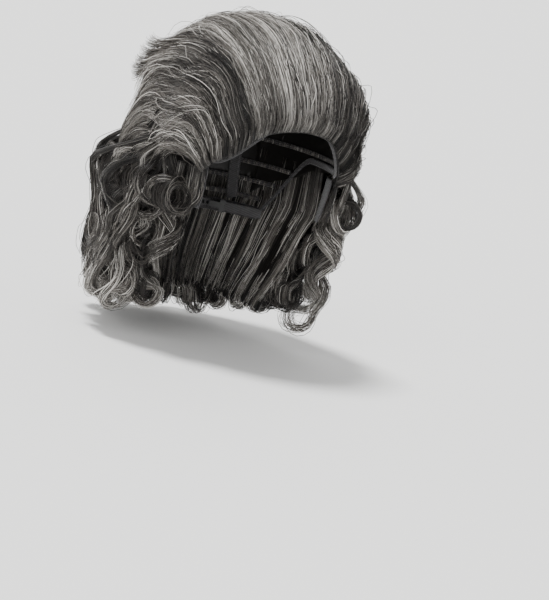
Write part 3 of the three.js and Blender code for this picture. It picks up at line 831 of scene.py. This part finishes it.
def curled_strands(random, row, first, last, strands, loose=1.0, size=(0.62, 1.1)):
    """Locks that fall to a roll and wrap round it, open in the middle.

    Each lock has its own size, tilt and number of turns; most roll under, some flip out, and some
    turn until the curl lies flat against the side of the head. At loose 0 they are even.
    """
    locks, per_lock, points = strands
    lock, a, b = bundled(random, locks, share_of(per_lock))
    span = (last - first) / locks
    angle_of = first + span * (np.arange(locks) + 0.5) + random.normal(0, 0.3 * span, locks) * loose
    centre, outward, lengthwise = around(row, angle_of)
    side, from_face = sides_of(angle_of)
    flat = random.uniform(0, 1, locks) < FLAT_SHARE * loose
    splay = np.where(flat, random.uniform(45, 80, locks), random.normal(10, 18, locks) * loose)
    splay = np.radians(splay * side)[:, None]
    axis = lengthwise * np.cos(splay) - outward * np.sin(splay)
    axis = unit(axis + UP * random.normal(0, 0.28, (locks, 1)) * loose)
    top = unit(UP - axis * across(UP, axis))
    out = np.cross(top, axis)
    out = out * np.sign(across(out, outward))
    radius_of = row["radius"] * random.uniform(*size, locks)
    spare = (row["radius"] - radius_of)[:, None]
    centre = centre + out * spare * random.uniform(-0.7, 0.8, (locks, 1))
    scatter = row["scatter"]
    raised = np.clip(random.normal(0, scatter, (locks, 1)), -1.3 * scatter, 1.5 * scatter)
    centre = centre + UP * raised * loose
    flips = random.uniform(0, 1, locks) < FLIP_SHARE * loose
    way = np.where(flips, 1.0, -1.0)
    begin = np.radians(np.where(flips, random.uniform(165, 205, locks), random.uniform(55, 125, locks)))
    turns = random.uniform(0.75, 1.6, locks)
    slide = (random.normal(0, 6, locks) + 3 * side) * loose
    tighten = random.uniform(0.2, 0.5, locks)

    split = round(points * FALLING_SHARE)
    f = np.linspace(0, 1, split, endpoint=False)[None, :, None]
    wrap = np.linspace(0, 1, points - split)[None, :]
    begin_at, way_at, turns_at, radius_at, tighten_at, slide_at, side_at = to_strands(
        lock, begin, way, turns, radius_of, tighten, slide, side)
    centre_at, axis_at, out_at, top_at = to_strands(lock, centre, axis, out, top)
    own_turns = turns_at * random.uniform(0.82, 1.08, (len(lock), 1))
    theta = begin_at + way_at * wrap * own_turns * 2 * math.pi
    ring = radius_at * (1 - tighten_at * wrap) + b[:, None] * 3.0 * (1 - 0.3 * wrap)
    thick = math.radians(span) * ROW_RADIUS * 0.75
    offset = a[:, None] * thick * np.where(flat, 0.7, 1.0)[lock][:, None] * (1 - 0.35 * wrap)
    offset = offset + slide_at * wrap
    rolled = (
        centre_at + out_at * (np.cos(theta) * ring)[..., None]
        + top_at * (np.sin(theta) * ring)[..., None] + axis_at * offset[..., None]
    )

    root_angle = np.maximum(from_face - random.uniform(*row["ahead"], locks), FIRST_ROOT)
    root_height, root_depth = random.uniform(*row["roots"], locks), random.uniform(4, 11, locks)
    root = on_outline(HAIR_OUTLINE, side * root_angle, root_height, root_depth)
    root = root[lock] + axis[lock] * a[:, None] * thick * 0.7 + out[lock] * b[:, None] * 2
    entry = rolled[:, 0]
    heading = way_at * (top[lock] * np.cos(theta[:, :1]) - out[lock] * np.sin(theta[:, :1]))
    leaving = unit(lengthwise[lock] * side_at * 0.8 - UP * 0.7)
    apart = np.linalg.norm(entry - root, axis=1)[:, None]
    falling = (
        (2 * f ** 3 - 3 * f ** 2 + 1) * root[:, None]
        + (f ** 3 - 2 * f ** 2 + f) * (leaving * apart)[:, None]
        + (3 * f ** 2 - 2 * f ** 3) * entry[:, None]
        + (f ** 3 - f ** 2) * (heading * apart)[:, None]
    )
    half_turn = f[..., 0] * math.pi
    sway = np.sin(2 * half_turn + random.uniform(0, 6, locks)[lock][:, None]) * np.sin(half_turn)
    falling = falling + axis_at * (sway * 4 * loose)[..., None]
    from_middle = falling - HAIR_MIDDLE
    reach = np.linalg.norm(from_middle, axis=-1, keepdims=True)
    depth = mix(8.0, 2.5, smooth(f, 0.3, 0.8)) - b[:, None, None] * 2
    surface = reach_of(HAIR_REACH, from_middle / reach)[..., None] - depth
    kept = mix(np.maximum(reach, surface), reach, smooth(f, 0.45, 1.0))
    falling = HAIR_MIDDLE + from_middle / reach * mix(reach, kept, smooth(f, 0.0, 0.25))
    paths = np.concatenate([falling, rolled], 1)
    return paths, lock, np.broadcast_to(axis_at, paths.shape)


def draped_strands(random, row, first, last, strands):
    """Long locks that hang over the curls in lazy waves and hook round at their ends."""
    locks, per_lock, points = strands
    lock, a, b = bundled(random, locks, share_of(per_lock))
    angle_of = random.uniform(first, last, locks)
    side, from_face = sides_of(angle_of)
    _, outward, lengthwise = around(row, angle_of)
    root_angle = np.maximum(from_face - random.uniform(*row["ahead"], locks), FIRST_ROOT)
    high = random.uniform(*row["roots"], locks)
    low = random.uniform(*row["ends"], locks)
    out = random.uniform(10, 20, locks)
    phase, pace = random.uniform(0, 2 * math.pi, locks), random.uniform(0.8, 1.3, locks)

    fallen = round(points * DRAPED_SHARE)
    t = np.linspace(0, 1, fallen)[None, :]
    phase_at, pace_at, root_at, face_at, side_at, out_at, high_at, low_at = to_strands(
        lock, phase, pace, root_angle, from_face, side, out, high, low)
    turn = phase_at + pace_at * 2 * math.pi * t
    grown = smooth(t, 0.1, 0.5)
    angle = mix(root_at, face_at, smooth(t, 0.0, 0.5))
    angle = side_at * (angle + grown * 4.0 * np.sin(turn)) + a[:, None] * 3.4 * (1 - 0.5 * t)
    depth = mix(7.0, -out_at, smooth(t, 0.05, 0.5))
    depth = depth - grown * 4.5 * np.cos(turn) + b[:, None] * 3.0
    height = mix(high_at, low_at + random.uniform(-3, 3, (len(lock), 1)), t)
    falling = on_outline(HAIR_OUTLINE, angle, height, depth)

    aim = 1.4 * random.uniform(-0.3, 1.1, (locks, 1)) * np.sign(random.uniform(-1, 1, (locks, 1)))
    across_of = unit(lengthwise * np.cos(aim) - outward * np.abs(np.sin(aim)))
    across_at, down_at = across_of[lock], unit(falling[:, -1] - falling[:, -2])
    across_at = unit(across_at - down_at * across(across_at, down_at))
    u = np.linspace(0, 1, points - fallen + 1)[None, 1:]
    swing = u * np.radians(random.uniform(190, 340, locks))[lock][:, None]
    ring = (random.uniform(11, 18, locks)[lock] + b * 2.8)[:, None] * (1 - 0.35 * u)
    hook = (
        falling[:, -1:] + across_at[:, None] * (ring * (1 - np.cos(swing)))[..., None]
        + down_at[:, None] * (ring * np.sin(swing))[..., None]
    )
    paths = np.concatenate([falling, hook], 1)
    aside = unit(np.cross(down_at, across_at))[:, None]
    return paths, lock, np.broadcast_to(aside, paths.shape)


class WIG_OT_curls(Operator):
    """Makes the three rows of curls round the sides and back"""

    bl_idname = "wig.curls"
    bl_label = "Curls"

    def execute(self, context):
        for key, row in CURL_ROWS.items():
            pitch = (360 - 2 * row["start"]) / row["count"]
            for i in range(row["count"]):
                node = f"curl_{key}_{i + 1}"
                random, cuttings = seeded(node), Cuttings()
                first = row["start"] + i * pitch + CURL_SPACE / 2
                last = first + pitch - CURL_SPACE
                paths, lock, aside = curled_strands(random, row, first, last, ROLLED)
                lay(cuttings, random, frizzed(random, paths, 0.7, 0.08), lock, aside, row["bright"])
                paths, lock, aside = draped_strands(random, row, first, last, DRAPED)
                lay(cuttings, random, frizzed(random, paths, 0.9, 0.1), lock, aside, row["bright"])
                paths, lock, aside = curled_strands(random, row, first, last, UNDER, 0.35, (0.72, 0.8))
                dark = np.clip(random.normal(*TONES["under"], len(lock)), 0.05, 0.3)
                cuttings.tubes(paths, radii_for(random, paths) * UNDER_THICKER, dark, aside)
                place_hair(cuttings, f"{key}_curl_{i + 1}", node)
        return {"FINISHED"}


# ---- Locks that frame the face ----------------------------------------------------------------------

def sideburn_strands(random, side):
    """Straight hair that hangs from the ear tab and turns back at its end."""
    locks = 12
    lock, a, b = bundled(random, locks, share_of(24))
    angle_of = np.linspace(EAR_TAB["front"], EAR_TAB["rear"] + 2, locks) + random.normal(0, 0.6, locks)
    low_of = random.uniform(-52, -40, locks)
    t = np.linspace(0, 1, 18)[None, :]
    low = low_of[lock][:, None] + random.uniform(0, 6, (len(lock), 1))
    height = mix(2.0, low, t)
    swing = 8 * smooth(t, 0.45, 1.0) ** 1.5
    angle = angle_of[lock][:, None] + a[:, None] * 1.2 * (1 - 0.4 * t) + swing
    out = 6.4 + b[:, None] * 2.2 * smooth(t, -0.2, 0.3) + 5 * smooth(t, 0.6, 1.0)
    return on_head(side * angle, height, out), lock


# Each ringlet's lightness holds both its tone and painted light and shade.
RINGLETS = {
    "left": dict(
        side=1, middle=(88, -34), start=(90, -44, 6), bottom=-120, radius=10.0, turns=1.35, bright=0.04),
    "right": dict(
        side=-1, middle=(-82, -20), start=(-92, -40, 4), bottom=-104, radius=9.0, turns=1.3, bright=-0.06),
}


def ringlet_strands(random, ringlet):
    """One lock that drops from the temple and winds down into a loose ringlet."""
    locks = 6
    lock, a, b = bundled(random, locks, share_of(44))
    t = np.linspace(0, 1, 36)[None, :]
    wound = smooth(t, 0.24, 0.5)
    phase = np.linspace(0, 1.3, locks)[lock][:, None] + random.uniform(-0.2, 0.2, (len(lock), 1))
    winding = ringlet["turns"] * 2 * math.pi * np.maximum(t - 0.3, 0) / 0.7
    turn = ringlet["side"] * (math.pi * 0.3 + phase + winding)
    radius = wound * (ringlet["radius"] * (1 + 0.25 * np.sin(t * math.pi)) + b[:, None] * 3.2)
    x = mix(ringlet["start"][0], ringlet["middle"][0], smooth(t, 0, 0.5)) + a[:, None] * 4.0 * (1 - 0.5 * t)
    y = mix(ringlet["start"][1], ringlet["middle"][1], smooth(t, 0, 0.5)) + b[:, None] * 2.0
    low = ringlet["bottom"] + random.uniform(0, 18, locks)[lock][:, None]
    low = low + random.uniform(0, 7, (len(lock), 1))
    z = mix(ringlet["start"][2], low, t) + a[:, None] * 3.0 * wound
    x = x + np.cos(turn) * radius
    y = y + np.sin(turn) * radius
    return np.stack(np.broadcast_arrays(x, y, z), -1), lock


class WIG_OT_face_locks(Operator):
    """Makes the sideburn hair on the ear tabs and the ringlets in front of the ears"""

    bl_idname = "wig.face_locks"
    bl_label = "Face Locks"

    def execute(self, context):
        for name, ringlet in RINGLETS.items():
            node = f"sideburn_lock_{name}"
            random, cuttings = seeded(node), Cuttings()
            paths, lock = sideburn_strands(random, ringlet["side"])
            paths = frizzed(random, paths, 0.4)
            # The sideburns' fibres are lightened by 0.02 for their tone and painted light.
            lay(cuttings, random, paths, lock, unit(paths * [1, 1, 0]), 0.02)
            place_hair(cuttings, f"sideburn_{name}_strands", node, f"ear_flap_{name}")

            node = f"front_ringlet_{name}"
            random, cuttings = seeded(node), Cuttings()
            paths, lock = ringlet_strands(random, ringlet)
            paths = frizzed(random, paths, 0.6, 0.1)
            middle = np.array([*ringlet["middle"], 0.0])
            outward = unit((paths - middle) * [1, 1, 0] + [1e-3, 0, 0])
            lay(cuttings, random, paths, lock, outward, ringlet["bright"])
            place_hair(cuttings, f"ringlet_{name}_strands", node)
        return {"FINISHED"}


# ---- Cap --------------------------------------------------------------------------------------------

HAIRLINE = dict(middle=52.0, fall=44.0, temple=58.0, height=12.0)
NAPE = dict(low=-58.0, high=-46.0, side=128.0)
# The radii that turn the angles of bands, ribbons and wefts into lengths.
BAND_RADIUS, RIBBON_RADIUS, WEFT_RADIUS = 88, 105, 82
EAR_EDGE = dict(over=10.0, behind=96.0)
BAND_THICK = 2.4
WEFT = dict(inner=1.5, outer=2.5, height=4.5, root_gap=1.1, root_radius=0.28)
WEFT_ROWS = [(-38, 130), (-22, 121), (-5, 112), (20, 62), (44, 47), (70, 14)]
RIBBONS = {"center": (0, 32, 203), "left": (37, 31, 206), "right": (-37, 31, 206)}
RIBBON = dict(width=9.0, thick=0.7, rib=1.6)
NET = dict(out=1.9, rim=86.0, top=0.07, cord=0.3)
EAR_TAB = dict(front=60.0, rear=73.0, top=5.0, bottom=-38.0, thick=1.4)
STITCH = dict(length=2.6, gap=1.3, radius=0.22)


def hairline(angle):
    share = smooth(np.abs(angle), HAIRLINE["temple"] / 4, HAIRLINE["temple"])
    return HAIRLINE["middle"] - HAIRLINE["fall"] * share


def ear_edge(angle):
    """The cap's lower edge over and behind the ear."""
    edge = mix(EAR_EDGE["over"], NAPE["low"], smooth(np.abs(angle), EAR_EDGE["behind"], NAPE["side"] + 6))
    return np.maximum(edge, NAPE["low"] + 1)


def rounded(width_steps):
    """Shares across a band, and how much of its thickness it has at each, less at its edges."""
    share = np.linspace(0, 1, width_steps)
    return share, np.sqrt(np.clip(1 - np.abs(2 * share - 1) ** 6, 0.05, 1))


def band(cuttings, surface, length, inner, outer, ribs=0.0, slot=0, width_steps=7, rib=1.4):
    """A cloth band; surface(along, over, out) gives its places, with along and over in 0 to 1."""
    steps = max(8, round(length / rib) * 2)
    along = np.linspace(0, 1, steps)[:, None]
    over, full = rounded(width_steps)
    ridge = ribs * np.where(np.arange(steps) % 2, 1.0, -1.0)[:, None] * full
    middle, half = (inner + outer) / 2, (outer - inner) / 2
    top = surface(along, over[None, :], middle + half * full + ridge)
    under = surface(along, over[None, :], middle - half * full - ridge)
    cuttings.slab(top, under, slot=slot)


def stitches(cuttings, line, length, slot=1):
    """A row of stitches; line(along) gives places on it and is called with along in 0 to 1."""
    count = max(3, int(length / (STITCH["length"] + STITCH["gap"])))
    start = (np.arange(count) + 0.2) / count
    share = STITCH["length"] / (STITCH["length"] + STITCH["gap"]) / count
    along = start[:, None] + np.linspace(0, share, 4)
    paths = line(along)
    radii = np.full(paths.shape[:2], STITCH["radius"]) * [0.5, 1.0, 1.0, 0.5]
    aside = unit(paths - [0, 0, HEAD["widest"]]) + 1e-4
    cuttings.tubes(paths, radii, np.full(count, 0.5), unit(aside), sides=5, slot=slot)


class WIG_OT_cap_bands(Operator):
    """Makes the cap's front band, nape band and ear bindings"""

    bl_idname = "wig.cap_bands"
    bl_label = "Cap Bands"

    def execute(self, context):
        temple, side = HAIRLINE["temple"], NAPE["side"]
        bands = [
            ("front_band", -temple, temple, hairline, HAIRLINE["height"], cap_cloth(), "cap_fabric", 0.06),
            ("nape_band", side, 360 - side, lambda angle: NAPE["low"] + 0 * angle,
             NAPE["high"] - NAPE["low"], cap_cloth(), "cap_fabric", 0.06),
            ("ear_binding_left", temple + 2, side - 1, ear_edge, 6.0, elastic_cloth(), "elastic", 0.12),
            ("ear_binding_right", 1 - side, -temple - 2, ear_edge, 6.0, elastic_cloth(), "elastic", 0.12),
        ]
        for node, first, last, edge, height, cloth, slot, ribs in bands:
            cuttings = Cuttings()
            length = math.radians(last - first) * BAND_RADIUS

            def surface(along, over, out):
                angle = mix(first, last, along)
                return on_head(angle, edge(angle) + over * height, out)
            band(cuttings, surface, length, 0.15, BAND_THICK - 0.1, ribs)
            for over in (0.16, 0.84):
                for out in (0.05, BAND_THICK):
                    stitches(cuttings, lambda along: surface(along, over, out), length)
            place(cuttings, [cloth, sewing_thread()], f"{node}_cloth", "wig", node, slot)
        return {"FINISHED"}


class WIG_OT_cap_ribbons(Operator):
    """Makes the elastic ribbons that run over the cap from front to back"""

    bl_idname = "wig.cap_ribbons"
    bl_label = "Cap Ribbons"

    def execute(self, context):
        for key, (offset, first, last) in RIBBONS.items():
            cuttings = Cuttings()
            length = math.radians(last - first) * RIBBON_RADIUS

            def surface(along, over, out):
                return over_head(offset + (over - 0.5) * RIBBON["width"], mix(first, last, along), out)
            band(cuttings, surface, length, 0.1, RIBBON["thick"] - 0.1, 0.09, rib=RIBBON["rib"])
            for over in (0.14, 0.86):
                stitches(cuttings, lambda along: surface(along, over, 0.05), length)
            materials = [elastic_cloth(), sewing_thread()]
            place(cuttings, materials, f"{key}_ribbon", "wig", f"cap_ribbon_{key}", "elastic")
        return {"FINISHED"}


class WIG_OT_wefts(Operator):
    """Makes the rows of machine-sewn weft that carry the hair"""

    bl_idname = "wig.wefts"
    bl_label = "Wefts"

    def execute(self, context):
        for i, (height, first) in enumerate(WEFT_ROWS):
            random, cuttings = seeded(f"weft {i}"), Cuttings()
            last = 360 - first
            length = math.radians(last - first) * WEFT_RADIUS

            def surface(along, over, out):
                return on_head(mix(first, last, along), height + (over - 0.5) * WEFT["height"], out)
            band(cuttings, surface, length, WEFT["inner"] + 0.35, WEFT["outer"], 0.05, width_steps=5)
            for over in (0.12, 0.5, 0.88):
                stitches(cuttings, lambda along: surface(along, over, WEFT["inner"] + 0.2), length)
            count = round(length / WEFT["root_gap"])
            along = np.sort(random.uniform(0.01, 0.99, count))[:, None]
            over = np.linspace(0.95, 0.02, 5)[None, :]
            roots = surface(along + random.normal(0, 0.001, (count, 5)), over, WEFT["inner"] + 0.25)
            tones = np.clip(random.normal(*TONES["weft"], count), 0.1, 0.9)
            aside = unit(roots * [1, 1, 0])
            cuttings.tubes(roots, np.full((count, 5), WEFT["root_radius"]), tones, aside, slot=2)
            materials = [cap_cloth(), sewing_thread(), fibre_material()]
            place(cuttings, materials, f"weft_{i + 1}", "wig", f"weft_row_{i + 1}", "cap_fabric")
        return {"FINISHED"}


class WIG_OT_crown_net(Operator):
    """Makes the open net over the top of the cap"""

    bl_idname = "wig.crown_net"
    bl_label = "Crown Net"

    def execute(self, context):
        cuttings = Cuttings()
        rim = math.acos((NET["rim"] - HEAD["widest"]) / HEAD["crown"])

        def on_crown(turn, polar):
            x = HEAD["half_width"] * np.sin(turn) * np.sin(polar)
            y = -HEAD["half_depth"] * np.cos(turn) * np.sin(polar)
            z = HEAD["widest"] + HEAD["crown"] * np.cos(polar) + 0 * turn
            return out_from(np.stack(np.broadcast_arrays(x, y, z), -1), NET["out"])
        threads, steps = 40, 20
        start = np.arange(threads)[:, None] * 2 * math.pi / threads
        polar = np.linspace(NET["top"], rim, steps)[None, :]
        for twist in (1.1, -1.1):
            paths = on_crown(start + twist * polar, polar)
            aside = unit(paths)
            cuttings.tubes(paths, np.full(paths.shape[:2], NET["cord"]), np.full(threads, 0.5), aside)
        turns = np.linspace(0, 2 * math.pi, 97)[None, :]
        for at, thick in ((NET["top"], 0.4), (0.3 * rim, 0.35), (0.65 * rim, 0.35), (rim, 0.4)):
            ring = on_crown(turns, np.full(turns.shape, at))
            radii = np.full(ring.shape[:2], thick)
            cuttings.tubes(ring, radii, np.full(1, 0.5), unit(ring), sides=6)
        place(cuttings, [cap_cloth()], "crown_netting", "wig", "crown_net", "cap_fabric")
        return {"FINISHED"}


class WIG_OT_ear_tabs(Operator):
    """Makes the cloth ear tabs with their sewn edges, and finishes the spring stays"""

    bl_idname = "wig.ear_tabs"
    bl_label = "Ear Tabs"

    def execute(self, context):
        steel = hard_material("spring_steel", (0.72, 0.72, 0.73), 0.32, 1.0, 900.0)
        front, rear = EAR_TAB["front"], EAR_TAB["rear"]
        for name, side in (("left", 1), ("right", -1)):
            cuttings = Cuttings()

            def surface(along, over, out):
                taper = 1 - 0.45 * (1 - over) ** 3
                angle = (front + rear) / 2 + (along - 0.5) * (rear - front) * taper * side
                return on_head(side * angle, mix(EAR_TAB["bottom"], EAR_TAB["top"], over), out)
            band(cuttings, surface, 16, 0.1, EAR_TAB["thick"] - 0.1, 0.0, width_steps=22)
            for along in (0.12, 0.88):
                for out in (0.05, EAR_TAB["thick"]):
                    stitches(cuttings, lambda over: surface(along, over, out), 40)
            stitches(cuttings, lambda along: surface(along, 0.08, 0.05), 9)
            node, materials = f"ear_tab_{name}", [cap_cloth(), sewing_thread()]
            place(cuttings, materials, f"{node}_cloth", f"ear_flap_{name}", node, "cap_fabric")
            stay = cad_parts[f"ear_tab_stay_{name}"]
            for slot in stay.material_slots:
                slot.material = steel
        return {"FINISHED"}


class WIG_OT_adjusters(Operator):
    """Finishes the nape adjusters: ribbed straps, nylon hooks and their eyes"""

    bl_idname = "wig.adjusters"
    bl_label = "Nape Adjusters"

    def execute(self, context):
        nylon = hard_material("moulded_nylon", context.scene.wig_colours.nylon, 0.4, 0.0, 700.0)
        for name in ("left", "right"):
            finishes = {f"adjuster_hook_{name}": nylon, f"adjuster_strap_{name}": elastic_cloth(),
                        f"adjuster_eyes_{name}": elastic_cloth()}
            for node, material in finishes.items():
                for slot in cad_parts[node].material_slots:
                    slot.material = material
        return {"FINISHED"}


# ---- Stage ------------------------------------------------------------------------------------------

CAMERA = dict(
    azimuth=-32, elevation=10, roll=12, distance=2.5, tall=0.5664, right=0.0535, up=-0.1182, near=0.03)
# name, place, strength, spread in degrees
LIGHTS = [
    ("key_light", (-0.40, 0.30, 1.8), 4.6, 14),
    ("fill_light", (-1.3, -1.0, 0.9), 0.9, 40),
    ("back_light", (0.7, 1.1, 1.1), 0.6, 40),
]
SKY = dict(strength=1.7, overhead=0.24, low=0.22, high=0.55)


def aimed(name, data, at):
    """An object at a place, turned to face the wig."""
    thing = bpy.data.objects.new(name, data)
    thing.location = at
    thing.rotation_euler = (-Vector(at)).to_track_quat("-Z", "Y").to_euler()
    bpy.context.scene.collection.objects.link(thing)


def place_camera(scene):
    azimuth, elevation, roll = (math.radians(CAMERA[key]) for key in ("azimuth", "elevation", "roll"))
    back = Vector((math.sin(azimuth), -math.cos(azimuth), 0)) * math.cos(elevation)
    back.z = math.sin(elevation)
    right = Vector((math.cos(azimuth), math.sin(azimuth), 0))
    up = back.cross(right)
    turn = Matrix.Rotation(roll, 3, back)
    camera = bpy.data.cameras.new("camera")
    camera.sensor_fit = "VERTICAL"
    camera.sensor_height = 24
    camera.lens = camera.sensor_height * (CAMERA["distance"] - CAMERA["near"]) / CAMERA["tall"]
    camera.clip_end = 100
    viewer = bpy.data.objects.new("camera", camera)
    axes = Matrix((turn @ right, turn @ up, back)).transposed().to_4x4()
    axes.translation = right * CAMERA["right"] + up * CAMERA["up"] + back * CAMERA["distance"]
    viewer.matrix_world = axes
    scene.collection.objects.link(viewer)
    scene.camera = viewer


class WIG_OT_stage(Operator):
    """Sets the floor, the lights and the camera"""

    bl_idname = "wig.stage"
    bl_label = "Stage"

    def execute(self, context):
        scene = context.scene
        material, _, shader = new_material("studio_floor")
        shader.inputs["Base Color"].default_value = shaded(scene.wig_colours.floor, 1.0)
        shader.inputs["Roughness"].default_value = 0.9
        low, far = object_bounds()[0][2] - 0.001, 40
        mesh = bpy.data.meshes.new("studio_floor")
        corners = [(-far, -far, low), (far, -far, low), (far, far, low), (-far, far, low)]
        mesh.from_pydata(corners, [], [(0, 1, 2, 3)])
        mesh.materials.append(material)
        floor = bpy.data.objects.new("studio_floor", mesh)
        scene.collection.objects.link(floor)
        floor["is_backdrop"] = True
        scene.world = bpy.data.worlds.new("studio")
        scene.world.use_nodes = True
        tree = scene.world.node_tree
        split = tree.nodes.new("ShaderNodeSeparateXYZ")
        tree.links.new(tree.nodes.new("ShaderNodeTexCoord").outputs["Generated"], split.inputs[0])
        stops = [(SKY["low"], grey(1.0)), (SKY["high"], grey(SKY["overhead"]))]
        sky = ramp(tree, stops, split.outputs[2])
        tree.links.new(sky, tree.nodes["Background"].inputs["Color"])
        tree.nodes["Background"].inputs["Strength"].default_value = SKY["strength"]
        for name, at, strength, spread in LIGHTS:
            light = bpy.data.lights.new(name, "SUN")
            light.energy, light.angle = strength, math.radians(spread)
            aimed(name, light, at)
        place_camera(scene)
        return {"FINISHED"}


class WIG_PT_panel(Panel):
    """Sizes, colours and the steps that build the wig"""

    bl_idname = "WIG_PT_panel"
    bl_label = "Costume Wig"
    bl_space_type = "VIEW_3D"
    bl_region_type = "UI"
    bl_category = "Wig"

    def draw(self, context):
        for settings in (context.scene.wig_sizes, context.scene.wig_colours):
            box = self.layout.box()
            for name in type(settings).__annotations__:
                box.prop(settings, name)
        for step in STEPS:
            self.layout.operator(step.bl_idname)


STEPS = (
    WIG_OT_crown_net, WIG_OT_cap_ribbons, WIG_OT_cap_bands, WIG_OT_wefts, WIG_OT_ear_tabs, WIG_OT_adjusters,
    WIG_OT_combed_hair, WIG_OT_hanging_hair, WIG_OT_curls, WIG_OT_face_locks, WIG_OT_stage,
)
CLASSES = (WigSizes, WigColours, *STEPS, WIG_PT_panel)


def register():
    for cls in CLASSES:
        bpy.utils.register_class(cls)
    bpy.types.Scene.wig_sizes = PointerProperty(type=WigSizes)
    bpy.types.Scene.wig_colours = PointerProperty(type=WigColours)


def unregister():
    del bpy.types.Scene.wig_colours, bpy.types.Scene.wig_sizes
    for cls in reversed(CLASSES):
        bpy.utils.unregister_class(cls)


def main():
    register()
    for step in STEPS:
        group, action = step.bl_idname.split(".")
        getattr(getattr(bpy.ops, group), action)()


if __name__ == "__main__":
    main()
